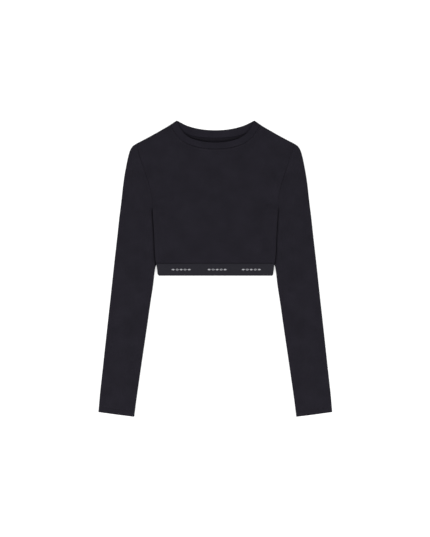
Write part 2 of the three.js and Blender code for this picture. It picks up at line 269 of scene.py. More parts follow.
def sunk(distance, depth, floor, wall):
    """How deep a seam has drawn the cloth in at a distance from it."""
    return depth * (1.0 - ease((distance - floor) / wall))


class Thread:
    """A socket of a material that can be used in sums."""

    def __init__(self, dye, socket):
        self.dye, self.socket = dye, socket

    def sum(self, operation, first, second=0.0):
        """The result of a Math node."""
        made = self.dye.node("ShaderNodeMath", {"operation": operation}, {0: first, 1: second})
        return Thread(self.dye, made.outputs[0])

    def __add__(self, other):
        return self.sum("ADD", self, other)

    def __sub__(self, other):
        return self.sum("SUBTRACT", self, other)

    def __rsub__(self, other):
        return self.sum("SUBTRACT", other, self)

    def __mul__(self, other):
        return self.sum("MULTIPLY", self, other)

    def zigzag(self):
        """Up and down between 0 and 1, once for each whole number."""
        return self.sum("PINGPONG", self, 0.5) * 2.0

    __radd__, __rmul__ = __add__, __mul__


class Dye:
    """A material while it is being mixed."""

    def __init__(self, name):
        self.material = bpy.data.materials.new(name)
        self.material.use_nodes = True
        self.tree = self.material.node_tree
        self.tree.nodes.clear()

    def node(self, kind, settings, sockets):
        """A node, with its settings made first and then its sockets linked or set."""
        made = self.tree.nodes.new(kind)
        for key, value in settings.items():
            setattr(made, key, value)
        for key, value in sockets.items():
            if isinstance(value, Thread):
                self.tree.links.new(value.socket, made.inputs[key])
            else:
                made.inputs[key].default_value = value
        return made

    def read(self, kind, settings, sockets, output=0):
        """One output of a new node."""
        return Thread(self, self.node(kind, settings, sockets).outputs[output])

    def tint(self, share, plain, changed):
        """A colour between two others."""
        sockets = {0: share, 6: (*plain, 1.0), 7: (*changed, 1.0)}
        return self.read("ShaderNodeMix", {"data_type": "RGBA"}, sockets, 2)

    def noise(self, place, scale, detail):
        sockets = {"Vector": place, "Scale": scale, "Detail": detail}
        return self.read("ShaderNodeTexNoise", {"noise_dimensions": "3D"}, sockets)

    def grain(self):
        """The place on the flat cloth, and its parts across and along the wales."""
        place = self.read("ShaderNodeUVMap", {"uv_map": "grain"}, {})
        apart = self.node("ShaderNodeSeparateXYZ", {}, {0: place})
        return place, Thread(self, apart.outputs[0]), Thread(self, apart.outputs[1])

    def finish(self, colour, roughness, height, depth, constants):
        """The finished material, its surface raised by height times depth in metres."""
        bump = self.read("ShaderNodeBump", {}, {"Strength": 1.0, "Distance": depth, "Height": height})
        sockets = {"Base Color": colour, "Roughness": roughness, "Normal": bump, **constants}
        made = self.node("ShaderNodeBsdfPrincipled", {}, sockets)
        out = self.node("ShaderNodeOutputMaterial", {}, {})
        self.tree.links.new(made.outputs[0], out.inputs[0])
        return self.material


def knit(name, plain, lighter, wale, course, rib=0.0):
    """Knitted cloth: wales of small V-shaped stitches, slightly uneven in tone, with painted shade in
    the grooves between stitches.

    wale and course are the width and height of a stitch and rib the width of a rib, in metres.
    """
    dye = Dye(name)
    place, across, along = dye.grain()
    wales = across * (1.0 / wale)
    legs = (wales * 2.0).zigzag()
    lean = wales.zigzag()
    loops = (along * (1.0 / course) + lean * 0.8).zigzag()
    height = legs * 0.8 + loops * legs * 0.9 + dye.noise(place, 1500.0, 2.0) * 0.5
    if rib:
        ribs = (across * (1.0 / rib)).zigzag()
        height = height * 0.35 + ribs * 1.6
        legs = legs * 0.4 + ribs * 0.6
    slub = dye.noise(place, 620.0, 3.0)
    cloud = dye.noise(place, 24.0, 3.0)
    # The colour goes lighter with the stitches' raised legs and loops and darker in the grooves
    # between them, which is painted shade; cloud and slub add random tone.
    shade = (cloud - 0.5) * 1.3 + (slub - 0.5) * 1.5 + legs * 0.35 + loops * 0.2 + 0.2
    shade = shade.sum("MAXIMUM", shade, 0.0)
    shade = shade.sum("MINIMUM", shade, 1.0)
    constants = {
        "Specular IOR Level": 0.06,
        "Sheen Weight": 0.05,
        "Sheen Roughness": 0.5,
        "Sheen Tint": (0.8, 0.78, 0.9, 1.0),
    }
    return dye.finish(dye.tint(shade, plain, lighter), 0.76 + cloud * 0.2, height, 0.00014, constants)


# The face of the jersey, and its purl side, which shows inside the neck; the purl side's colour is
# darkened as painted shade for the shadow inside the neck.
jersey = knit("black jersey", (0.0080, 0.0071, 0.0106), (0.0147, 0.0133, 0.0190), 0.0009, 0.0007)
shaded_purl = knit("black jersey inside painted shade", (0.0036, 0.0031, 0.0054), (0.0080, 0.0070, 0.0108), 0.0014, 0.0005)


# Where the cloth has shifted a little as it lies: the place, how far round it, and the move.
shifts = [
    dict(x=-85, up=353, reach_x=13, reach_up=20, move=(0.0, 1.8)),
    dict(x=86, up=353, reach_x=13, reach_up=20, move=(1.3, 1.7)),
    dict(x=-131, up=2, reach_x=4.5, reach_up=5.5, move=(-0.85, 0.0)),
    dict(x=131, up=0, reach_x=4.5, reach_up=5.5, move=(1.7, 0.0)),
    dict(x=133, up=12, reach_x=4.5, reach_up=6.0, move=(0.9, 0.0)),
]


def added(name, data):
    """A new object in the scene."""
    made = bpy.data.objects.new(name, data)
    bpy.context.scene.collection.objects.link(made)
    return made


def placed(points):
    """Points in metres in the frame, from millimetres above the hem, with the cloth's shifts."""
    points = np.array(points, float)
    moved = points.copy()
    for s in shifts:
        moved[:, :2] += near_middle(s, points[:, 0], points[:, 1])[:, None] * s["move"]
    moved[:, 1] += HEM_AT
    return (moved * MM).tolist()


def smooth_piece(name, points, faces):
    """A smooth piece of the garment, from points in millimetres above the hem."""
    made = bpy.data.meshes.new(name)
    made.from_pydata(placed(points), [], faces)
    made.polygons.foreach_set("use_smooth", np.ones(len(faces), bool))
    piece = added(name, made)
    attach(piece, "root")
    return piece


def cloth_wall(name, outer, grain, thickness, cloths, round_ends=None):
    """A closed wall of cloth from rows of points on its outer side, in millimetres.

    grain holds each point's place on the flat cloth, and cloths its face and its inside. A ring,
    whose last column joins the first, has round_ends: whether its first and last row are folds.
    """
    closed = round_ends is not None
    rows, columns = outer.shape[:2]
    if closed:
        padded = np.concatenate([outer[:, -1:], outer, outer[:, :1]], axis=1)
        across = padded[:, 2:] - padded[:, :-2]
    else:
        across = np.gradient(outer, axis=1)
    normal = np.cross(across, np.gradient(outer, axis=0))
    normal /= np.linalg.norm(normal, axis=2, keepdims=True)
    thick = np.broadcast_to(np.asarray(thickness, float), (rows, columns))[..., None]
    inner = outer - normal * thick

    span = columns if closed else columns - 1
    j, i = np.meshgrid(np.arange(rows - 1), np.arange(span), indexing="ij")
    corners = [(j, i), (j, i + 1), (j + 1, i + 1), (j + 1, i)]
    at = lambda row, column: row * columns + column % columns
    face_sets = [np.stack([at(*c) for c in corners], -1).reshape(-1, 4)]
    face_sets.append(face_sets[0][:, ::-1] + rows * columns)
    grain_sets = [np.stack([grain[c] for c in corners], 2).reshape(-1, 4, 2)]
    grain_sets.append(grain_sets[0][:, ::-1])
    points = [outer.reshape(-1, 3), inner.reshape(-1, 3)]
    count = 2 * rows * columns

    def rim(edge_rows, edge_columns, rounded, outward):
        """Faces from the outer to the inner side along an edge, round if it is a fold."""
        nonlocal count
        edge = at(edge_rows, edge_columns)
        turns = 5 if rounded else 0
        loops = [edge]
        top, low = points[0][edge], points[1][edge]
        for k in range(1, turns + 1):
            angle = math.pi * k / (turns + 1)
            middle, half = (top + low) / 2, (top - low) / 2
            reach = np.linalg.norm(half, axis=1, keepdims=True) * math.sin(angle)
            points.append(middle + half * math.cos(angle) + outward * reach)
            loops.append(count + np.arange(len(edge)))
            count += len(edge)
        loops.append(edge + rows * columns)
        here = np.arange(len(edge))[: None if closed else -1]
        there = (here + 1) % len(edge)
        for a, b in zip(loops, loops[1:]):
            face_sets.append(np.stack([a[there], a[here], b[here], b[there]], -1))
            g = grain[edge_rows, edge_columns]
            grain_sets.append(np.stack([g[there], g[here], g[here], g[there]], 1))

    if closed:
        order = np.arange(columns)
        for row, inside, keep, rounded in (
            (0, 1, order, round_ends[0]),
            (rows - 1, rows - 2, order[::-1], round_ends[1]),
        ):
            outward = (outer[row] + inner[row] - outer[inside] - inner[inside])[keep]
            outward = outward / np.linalg.norm(outward, axis=1, keepdims=True)
            rim(np.full(columns, row), keep, rounded, outward)
    else:
        last_row, last_column = rows - 1, columns - 1
        sides = [
            (np.zeros(last_column), np.arange(last_column)),
            (np.arange(last_row), np.full(last_row, last_column)),
            (np.full(last_column, last_row), np.arange(last_column, 0, -1)),
            (np.arange(last_row, -1, -1), np.zeros(rows)),
        ]
        rim(*(np.concatenate(part).astype(int) for part in zip(*sides)), False, 0.0)

    faces = np.concatenate(face_sets)
    piece = smooth_piece(name, np.concatenate(points), faces.tolist())
    is_inside = np.zeros(len(faces), np.int32)
    is_inside[len(face_sets[0]) : 2 * len(face_sets[0])] = 1
    for cloth in cloths:
        piece.data.materials.append(cloth)
    piece.data.polygons.foreach_set("material_index", is_inside)
    flat = piece.data.uv_layers.new(name="grain")
    flat.data.foreach_set("uv", (np.concatenate(grain_sets) * MM).astype(np.float32).ravel())
    return piece


def spaced(length, cell, fine):
    """Places from 0 to 1 along a length, a cell apart, with fine steps near both ends."""
    steps = np.linspace(0.0, length, max(3, round(length / cell)))
    inside = np.minimum(steps, length - steps) > fine[-1] + cell / 2
    return np.concatenate([fine, steps[inside], length - fine[::-1]]) / length


# Steps of the mesh beside a seam, and how closely the neckline's points crowd towards its corners.
SEAM_STEPS = np.array([0.0, 0.12, 0.35, 0.7, 1.15, 1.7, 2.4, 3.4, 4.4, 5.2, 6.0, 7.2])
NECKLINE_RUN, NECKLINE_CROWDING = 200, 0.96
CLEAR_OF_FOLD = 14


def body_panel(name, is_front, cell):
    """A panel from the hem band's seam up to the neck seam and shoulder, with its edges turned in."""
    swing = np.linspace(-0.5, 0.5, round(NECKLINE_RUN / cell)) * math.pi * NECKLINE_CROWDING
    neck = np.sin(swing) / math.sin(NECKLINE_CROWDING / 2 * math.pi)
    neck_x, neck_up = neck_point(is_front, neck, NECK_EDGE_AT)
    run = spaced(np.hypot(TIP_HALF - neck_x[-1], TIP_UP - neck_up[-1]), cell, SEAM_STEPS)[1:]
    arm_x = blend(neck_x[-1], TIP_HALF, run)
    arm_up = blend(neck_up[-1], TIP_UP, run) - SHOULDER_HOLLOW * np.sin(math.pi * run)
    top_x = np.concatenate([-arm_x[::-1], neck_x, arm_x])
    top_up = np.concatenate([arm_up[::-1], neck_up, arm_up])
    leans = np.abs(np.gradient(top_up) / np.gradient(top_x))
    square = 1.0 / np.hypot(leans, 1.0)

    t = spaced(TIP_UP - BAND_HEIGHT, cell, SEAM_STEPS)[:, None]
    up = blend(BAND_HEIGHT - HEM_EDGE_UNDER, top_up[None, :], t)
    x = top_x / body_half(top_up) * body_half(up)
    # Distances in from the edges, and how much of a fold or a seam each edge is there.
    from_top = (top_up[None, :] - up) * square
    from_side = body_half(up) - np.abs(x)
    from_band = up - BAND_HEIGHT
    is_side = ease((ARMPIT_UP + 3 - up) / 6)
    to_seam = (FOLDED - SIDE_SEAM_AT if is_front else SIDE_SEAM_AT) - 0.03
    along_shoulder = np.abs(top_x) - neck_x[-1]
    is_shoulder = ease((along_shoulder - 1.0) / 4) * ease((TIP_HALF - 1 - np.abs(top_x)) / 4)
    at_neck = ease(0.5 - along_shoulder / 2)

    # Seams draw the cloth in, folds roll it down, turnings and ripples raise it.
    uneven = 0.75 + 0.25 * np.sin(up / 17 + np.sign(x))
    armhole = sunk(from_side, **ARMHOLE_SEAM) * uneven * (1 - is_side)
    neck_seam = sunk(from_top, **NECK_SEAM) * at_neck * blend(0.55, 1.0, ease((72 - np.abs(x)) / 36))
    hem_seam = sunk(from_band, **HEM_SEAM)
    side_fold = rolled(from_side, to_seam, SIDE_ROLL) * is_side
    shoulder_fold = rolled(from_top, FOLDED / 2 - 0.04, SHOULDER_ROLL) * is_shoulder
    neck_turning = NECK_TURNING_HEIGHT * ease((NECK_TURNING - from_top) / 1.6) * at_neck
    hem_turning = HEM_TURNING_HEIGHT * ease((HEM_TURNING - from_band) / 1.2)
    hem_turning = hem_turning * (0.8 + 0.3 * np.sin(x / 31 + 1))
    away_from_fold = ease(from_side / CLEAR_OF_FOLD) * ease(below_shoulder(x, up) / CLEAR_OF_FOLD)
    ripples = puckers(x, from_band) + puckers(x + 7, from_top) * at_neck
    ripples = ripples + puckers(up, from_side) * (1 - is_side)

    folds = np.maximum(side_fold, shoulder_fold)
    seams = np.maximum(np.maximum(armhole, neck_seam), hem_seam)
    if is_front:
        waves = (unevenness(x, up) + creases(x, up, front_creases)) * away_from_fold
        side_puff = SIDE_PUFF * np.exp(-(((from_side - 6) / 3.5) ** 2))
        waves = waves + side_puff * is_side * ease(from_band / 12)
        z = lift(x, up) + FOLDED + loft(x, up) + waves + ripples + neck_turning + hem_turning
        z = z - np.maximum(folds, seams)
        outer, grain = np.stack([x, up, z], -1), np.stack([x, up], -1)
        thick = JERSEY
    else:
        z = lift(x, up) + np.maximum(folds, seams * 0.15)
        outer, grain = np.stack([x, up, z], -1)[:, ::-1], np.stack([x, up], -1)[:, ::-1]
        waves = np.abs(unevenness(x, up) + creases(x, up, back_creases)) * away_from_fold
        thick = (JERSEY + neck_turning + waves - neck_seam * 0.35)[:, ::-1]
    # The panels' inside faces take the purl cloth, whose darker colour is painted shade for the
    # shadow inside the neck.
    piece = cloth_wall(name, outer, grain, thick, (jersey, shaded_purl))
    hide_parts("front" if is_front else "back")
    return piece


front = body_panel("front_panel", True, 2.1)
back = body_panel("back_panel", False, 2.3)

# Sleeves. Each is one piece of the same jersey with a low sleeve head, set into the armhole and
# closed by one seam along the inner fold, so that it lies as a flat tube. The cuff is turned up
# inside and held by two rows of coverstitch.
ARMHOLE_BOW_ROWS = 6
CUFF_HEM, CUFF_HEM_GROWTH = 11.0, 0.5
CUFF_WALL = 1.5
ARMHOLE_TURNING, ARMHOLE_TURNING_HEIGHT = 5.4, 0.5
ARMHOLE_WALL = 0.4
CLEAR_OF_CUFF = 14
# Beside the body each sleeve sags into a groove and puffs up next to it, more on the wearer's right:
# 1 is the wearer's left sleeve and -1 the right one.
GROOVE = {
    1: dict(depth=1.4, at=0.8, half=2.9),
    -1: dict(depth=1.4, at=1.0, half=2.7),
}
PUFF = {
    1: dict(height=1.8, at=5.6, inward=3.0, outward=8.0),
    -1: dict(height=2.4, at=5.6, inward=2.6, outward=8.5),
}
# Columns of the mesh that follow the groove, counted out from the body's side.
GROOVE_COLUMNS = np.array(
    [15, 13.4, 12, 10.8, 9.7, 8.7, 7.9, 7.2, 6.5, 5.9]
    + [5.3, 4.7, 4.1, 3.5, 2.9, 2.3, 1.6, 0.8, -0.4, -1.8]
)
# Steps of the mesh up from the cuff's edge.
CUFF_STEPS = np.array([0.0, 0.9, 1.8, 3.0, 5.0, 7.0, 8.6, 9.6, 10.4, 11.0, 11.5, 12.2, 13.2])
# How much further the inner fold is tucked under the body at the armpit and above the hem band.
UNDERARM_TUCK, HEM_TUCK = 2.4, 1.7
HEM_TUCK_FROM, HEM_TUCK_TO = 19, 60
# Widths that the mesh's cells on the lower and the open upper layer fill, and samples of a sleeve.
LOWER_RUN, OPEN_RUN = 55, 72
DOWN_SAMPLES, ACROSS_SAMPLES = 1500, 600
# A line down the middle of the sleeve, which its wales follow.
GRAIN_FROM, GRAIN_TO = np.array([162.5, 234.0]), np.array([227.5, -318.5])
# Sections down the sleeve: half width and height of its outer and inner folds, and how far in from
# the inner fold the body presses it flat.
sleeve_rows = [
    dict(out_half=180.4, out_up=303, in_half=143.9, in_up=165, pressed=0),
    dict(out_half=190, out_up=296.6, in_half=143.6, in_up=162, pressed=0),
    dict(out_half=195.9, out_up=287, in_half=141.5, in_up=158.5, pressed=2),
    dict(out_half=200, out_up=274, in_half=139.5, in_up=154.5, pressed=5.5),
    dict(out_half=204.1, out_up=255, in_half=138.2, in_up=150, pressed=9.5),
    dict(out_half=208.7, out_up=230, in_half=137, in_up=144.5, pressed=13),
    dict(out_half=212.7, out_up=201, in_half=135.8, in_up=134, pressed=15),
    dict(out_half=216.4, out_up=167, in_half=133.8, in_up=121, pressed=16),
    dict(out_half=220.7, out_up=133, in_half=132.4, in_up=104, pressed=15),
    dict(out_half=225, out_up=93, in_half=131, in_up=79, pressed=14),
    dict(out_half=229.1, out_up=57, in_half=132.4, in_up=45, pressed=12),
    dict(out_half=232.8, out_up=24, in_half=138.6, in_up=13, pressed=4),
    dict(out_half=236.9, out_up=-14, in_half=143.2, in_up=-25, pressed=0),
    dict(out_half=241.1, out_up=-53, in_half=149.2, in_up=-64, pressed=0),
    dict(out_half=247.2, out_up=-108, in_half=157, in_up=-119, pressed=0),
    dict(out_half=253.3, out_up=-163.5, in_half=165.2, in_up=-174.5, pressed=0),
    dict(out_half=259.3, out_up=-219, in_half=173.3, in_up=-230, pressed=0),
    dict(out_half=265.3, out_up=-274, in_half=181.1, in_up=-285, pressed=0),
    dict(out_half=268.7, out_up=-314, in_half=186.2, in_up=-324.8, pressed=0),
]
# Long soft swells of the sleeve's upper layer, by section and by share of the way across.
sleeve_swells = [
    dict(row=6.5, across=0.42, reach_row=1.5, reach_across=0.22, height=0.4),
    dict(row=9, across=0.36, reach_row=1.1, reach_across=0.26, height=-0.5),
    dict(row=12, across=0.6, reach_row=1.2, reach_across=0.24, height=0.4),
    dict(row=14.4, across=0.4, reach_row=1.1, reach_across=0.22, height=-0.4),
    dict(row=16.2, across=0.58, reach_row=0.8, reach_across=0.24, height=0.35),
]
# Creases of the sleeve's upper layer, in millimetres in from its outer fold and down from its head.
left_creases = [
    dict(start=(14, 14), end=(24, 96), bow=-4, width=6, height=0.6),
    dict(start=(58, 40), end=(30, 132), bow=5, width=7.5, height=0.7),
    dict(start=(70, 84), end=(46, 160), bow=-4, width=6.5, height=0.5),
    dict(start=(8, 236), end=(46, 262), bow=4, width=7, height=0.45),
    dict(start=(84, 254), end=(50, 286), bow=-4, width=6.5, height=0.5),
    dict(start=(80, 296), end=(38, 318), bow=4, width=7.5, height=0.4),
    dict(start=(12, 388), end=(52, 424), bow=-5, width=8, height=0.4),
    dict(start=(66, 470), end=(38, 540), bow=4, width=8, height=0.4),
]
right_creases = [
    dict(start=(20, 18), end=(28, 84), bow=4, width=6, height=0.55),
    dict(start=(60, 52), end=(38, 150), bow=-5, width=7, height=0.7),
    dict(start=(74, 104), end=(52, 168), bow=4, width=6, height=0.45),
    dict(start=(10, 214), end=(50, 246), bow=-4, width=7.5, height=0.45),
    dict(start=(82, 270), end=(44, 300), bow=5, width=7, height=0.5),
    dict(start=(14, 334), end=(48, 352), bow=4, width=6.5, height=0.35),
    dict(start=(64, 420), end=(34, 486), bow=-5, width=8.5, height=0.45),
    dict(start=(20, 512), end=(46, 560), bow=3, width=7, height=0.35),
]


def through(table, column, row):
    """A table's column at fractional rows, on a smooth line through the rows."""
    values = np.array([entry[column] for entry in table], float)
    row = np.clip(row, 0, len(values) - 1)
    i = np.minimum(row.astype(int), len(values) - 2)
    near = lambda k: values[np.clip(k, 0, len(values) - 1)]
    t = row - i
    before, here, there, after = near(i - 1), near(i), near(i + 1), near(i + 2)
    bend = t * (1 - t) ** 2 * (there - before) / 2 - t * t * (1 - t) * (after - here) / 2
    return blend(here, there, ease(t)) + bend


def sleeve_point(row, across):
    """Half width and height of a point across the sleeve. The first section follows the armhole."""
    seam_up = blend(TIP_UP, ARMPIT_UP, across)
    bow = body_half(seam_up) - blend(TIP_HALF, ARMPIT_HALF, across)
    share = 1 - ease(row / ARMHOLE_BOW_ROWS)
    half = blend(through(sleeve_rows, "out_half", row), through(sleeve_rows, "in_half", row), across)
    up = blend(through(sleeve_rows, "out_up", row), through(sleeve_rows, "in_up", row), across)
    tuck = UNDERARM_TUCK * ease((across - 0.86) / 0.12) * (1 - ease(row / 3))
    above_hem = ease((up - HEM_TUCK_FROM) / 8) * ease((HEM_TUCK_TO - up) / 25)
    tuck = tuck + HEM_TUCK * ease((across - 0.9) / 0.1) * above_hem
    return half + bow * share - tuck, up


def sleeve(name, node, side, crease_rows, cell):
    """A sleeve as a flat tube from the armhole to the cuff, each row of points all round it."""
    fine_rows = np.linspace(0, len(sleeve_rows) - 1.0, DOWN_SAMPLES)
    middle = np.stack(sleeve_point(fine_rows, np.full_like(fine_rows, 0.5)))
    walked = np.concatenate([[0], np.cumsum(np.hypot(*np.diff(middle, axis=1)))])
    length = walked[-1]
    steps = spaced(length, cell, SEAM_STEPS) * length
    steps = np.concatenate([steps[steps < length - CUFF_STEPS[-1] - 1], (length - CUFF_STEPS)[::-1]])
    row = np.interp(steps, walked, fine_rows)[:, None]
    down = steps[:, None]

    in_hem = ease((down - length + CUFF_HEM + 0.6) / 1.2)
    half_height = FOLDED / 2 + CUFF_HEM_GROWTH / 2 * in_hem
    ends = sleeve_point(row, np.zeros_like(row)), sleeve_point(row, np.ones_like(row))
    width = np.hypot(*np.subtract(*ends))

    # Points all round: the upper layer, the inner fold, the lower layer and the outer fold.
    fold = np.radians(np.linspace(90, 270, 11))[None, :]
    fold_in, fold_z = half_height * (1 + np.cos(fold)), half_height * (1 + np.sin(fold))
    seam_in = fold_in + 0.3 * (np.abs(np.cos(fold) + 1) < 0.01)
    lower = np.linspace(1, 0, round(LOWER_RUN / cell))[None, 1:-1]
    flat = width - 2 * half_height
    strip = np.linspace(0, 1, ACROSS_SAMPLES)[None, :]
    strip_half, strip_up = sleeve_point(row + 0 * strip, strip)
    covered = (strip_half < body_half(strip_up)).mean(axis=1, keepdims=True) * width
    covered = blend(1.5, np.clip(covered, 1.5, 9.0), ease(row / 3 - 0.1))
    least = 0.3 * np.arange(len(GROOVE_COLUMNS), 0, -1)
    from_fold = np.maximum(covered - half_height + GROOVE_COLUMNS, least)
    open_part = (flat - from_fold[:, :1]) * np.linspace(0, 1, round(OPEN_RUN / cell))[None, 1:-1]
    upper = np.concatenate([open_part, flat - from_fold], axis=1)
    parts = [half_height + upper, width - seam_in, half_height + flat * lower, fold_in[:, ::-1]]
    from_out = np.concatenate(parts, axis=1)
    parts = [2 * half_height + 0 * upper, fold_z, 0 * flat * lower, fold_z[:, ::-1]]
    level = np.concatenate(parts, axis=1) / half_height - 1
    on_top = np.clip(level, 0, 1)
    inside_out = from_out - half_height
    inside_in = width - half_height - from_out
    past_body = inside_in - np.maximum(0, through(sleeve_rows, "pressed", row))
    across = from_out / width
    half, up = sleeve_point(row + 0 * across, across)

    # Relief of the upper layer, with a groove and a puff beside the body and a sunk armhole seam.
    air = LOFT
    for s in sleeve_swells:
        along, aside = (row - s["row"]) / s["reach_row"], (across - s["across"]) / s["reach_across"]
        air = air + s["height"] * np.exp(-(along**2) - aside**2)
    air = air * ease(inside_out / LOFT_REACH) * ease(past_body / LOFT_REACH)
    away_from_fold = ease(inside_out / 9) * ease(inside_in / 9)
    away_from_ends = ease(down / 12) * ease((length - CUFF_HEM - down) / CLEAR_OF_CUFF)
    waves = creases(from_out, down + 0 * from_out, crease_rows) * away_from_ends
    waves = (waves + unevenness(from_out, down) + puckers(from_out, down)) * away_from_fold
    turning = ARMHOLE_TURNING_HEIGHT * ease((ARMHOLE_TURNING - down) / 1.4) * away_from_fold
    beside = half - body_half(up)
    groove, puff = GROOVE[side], PUFF[side]
    puff_width = blend(puff["inward"], puff["outward"], ease((beside - puff["at"]) / 5 + 0.5))
    sag = groove["depth"] * np.exp(-(((beside - groove["at"]) / groove["half"]) ** 4))
    sag = sag - puff["height"] * np.exp(-(((beside - puff["at"]) / puff_width) ** 2))
    sag = sag * ease((ARMPIT_UP - 6 - up) / 16) * ease((up + 6) / 16)
    channel = 0.2 * np.exp(-(((down - length + CUFF_HEM) / 1.7) ** 2))
    armhole = sunk(down, **ARMHOLE_SEAM) * (0.75 + 0.25 * np.sin(from_out / 21 + side))
    z = half_height * (1 + level) - channel * level
    z = z + on_top * (air + waves + turning - sag - armhole) - np.minimum(0, level) * 0.3 * armhole
    below_body = np.maximum(lift(half, up) - 0.1, 2 * JERSEY - 0.1)
    z = blend(z, np.minimum(z, below_body), ease((-beside - 0.3) / 1.2))

    # The rows start at the seam along the inner fold, and the wales run straight on both layers.
    outer = np.stack([half, up, z], -1)
    seam_column = upper.shape[1] + fold.shape[1] // 2
    outer = np.roll(outer, -seam_column, axis=1)
    under = np.roll(np.broadcast_to(level < 0, from_out.shape), -seam_column, axis=1)
    under[:, 0] = True
    wale = (GRAIN_TO - GRAIN_FROM) / np.hypot(*(GRAIN_TO - GRAIN_FROM))
    course = np.array([-wale[1], wale[0]])
    place = outer[..., :2] - GRAIN_FROM
    along_grain, across_grain = place @ wale, place @ course
    outer_fold = (np.stack(ends[0], -1) - GRAIN_FROM) @ course
    from_outer_fold = np.roll(inside_out, -seam_column, axis=1)
    turned_at = blend(outer_fold, np.median(outer_fold), ease(from_outer_fold / 50))
    unrolled = np.where(under, 2 * turned_at - across_grain, across_grain)
    unrolled = np.concatenate([unrolled, across_grain[:, :1]], axis=1)
    grain = np.stack([unrolled, np.concatenate([along_grain, along_grain[:, :1]], axis=1)], -1)
    outer = outer * [side, 1, 1]
    if side < 0:
        outer = outer[:, ::-1]
        grain = grain[:, ::-1]
    thickness = blend(blend(ARMHOLE_WALL, JERSEY, ease(down / 4)), CUFF_WALL, in_hem)
    shell = cloth_wall(
        name, outer, grain, thickness, (jersey, jersey), round_ends=(False, True)
    )
    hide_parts(node)
    return outer, down[:, 0], length


left_sleeve = sleeve("sleeve_left_shell", "sleeve_left", 1, left_creases, 2.4)
right_sleeve = sleeve("sleeve_right_shell", "sleeve_right", -1, right_creases, 2.4)

# Neckband. A strip of fine rib, doubled lengthways and sewn into a ring round the neckline. It lies
# folded at the two shoulders, its front half over its back half, and is a little thicker than the
# body's cloth.
NECK_FOLDED = 3.6
NECK_WALL = 1.6
NECK_NEAR_FOLD = 0.965
NECK_SEAM_AT = 0.995
NECK_ROWS, NECK_RUN, NECK_CROWDING = 14, 215, 0.46
NECK_PUFF = 0.3

rib = knit("black rib", (0.0070, 0.0063, 0.0097), (0.0140, 0.0127, 0.0183), 0.0006, 0.0006, 0.0012)


def ring_grain(outer, heights):
    """Places on a flat strip of points on a ring, measured along its middle row."""
    steps = np.linalg.norm(np.diff(outer, axis=1, append=outer[:, :1]), axis=2)
    around = np.concatenate([[0.0], np.cumsum(steps[len(heights) // 2])])
    return np.stack(np.broadcast_arrays(around[None, :], heights[:, None]), -1)


def neckband(cell):
    """Rings of points from the band's free edge down to its seam, each folded at both shoulders."""
    radius = NECK_FOLDED / 2
    half_wall = NECK_WALL / 2 / NECKBAND_HEIGHT
    levels = np.linspace(half_wall, NECK_SEAM_AT - half_wall, NECK_ROWS)
    swing = np.linspace(1, -1, round(NECK_RUN / cell))
    stations = np.sin(swing * math.pi * NECK_CROWDING) / math.sin(NECK_CROWDING * math.pi)
    stations = stations * NECK_NEAR_FOLD
    fold = np.radians(np.linspace(90, 270, 13))[1:-1]
    loops = []
    for w in levels:
        front_x, front_up = neck_point(True, stations, w)
        puff = NECK_PUFF * math.sin(math.pi * w) * (1 - stations**8)
        front_z = NECK_FOLDED + loft(front_x, front_up) + puff
        back_x, back_up = neck_point(False, stations[::-1], w)
        corner_x, corner_up = neck_point(True, np.array([1.0]), w)
        inward = radius * (1 + np.cos(fold))
        turned = {}
        for layer in (True, False):
            near_x, near_up = neck_point(layer, np.array([NECK_NEAR_FOLD]), w)
            t = inward / below_shoulder(near_x, near_up)
            turned[layer] = blend(corner_x, near_x, t), blend(corner_up, near_up, t)
        upper = fold <= math.pi
        fold_x = np.where(upper, turned[True][0], turned[False][0])
        fold_up = np.where(upper, turned[True][1], turned[False][1])
        fold_z = radius * (1 + np.sin(fold))
        front = np.stack([front_x, front_up, front_z], -1)
        under = np.stack([back_x, back_up, np.zeros_like(back_x)], -1)
        right = np.stack([-fold_x, fold_up, fold_z], -1)
        left = np.stack([fold_x, fold_up, fold_z], -1)[::-1]
        loops.append(np.concatenate([front, right, under, left]))
    outer = np.array(loops)
    grain = ring_grain(outer, levels * NECKBAND_HEIGHT)
    band = cloth_wall("neckband_rib", outer, grain, NECK_WALL, (rib, rib), (True, True))
    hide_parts("neckband")


neckband(1.6)

# Hem band. One ring of knitted elastic, 27 mm deep, overlocked to the body's lower edge. It is
# smoother and greyer than the jersey, has a fine line along each selvedge, and carries a small
# woven motif of lozenges at even steps round it.
ELASTIC = 1.5
ELASTIC_FOLDED = 3.6
SELVEDGE, SELVEDGE_DEPTH, SELVEDGE_HALF = 1.6, 0.16, 0.35
ELASTIC_RIB, ELASTIC_PICK = 0.0011, 0.0009
HEM_RUN = 266
# Rows of the mesh at the band's lower and upper edges.
LOW_ROWS = [-0.5, -0.25, 0.1, 0.55, 1.0, 1.35, 1.6, 1.8, 2.2, 2.9, 4.0]
HIGH_ROWS = [24.4, 25.1, 25.4, 25.7, 26.1]


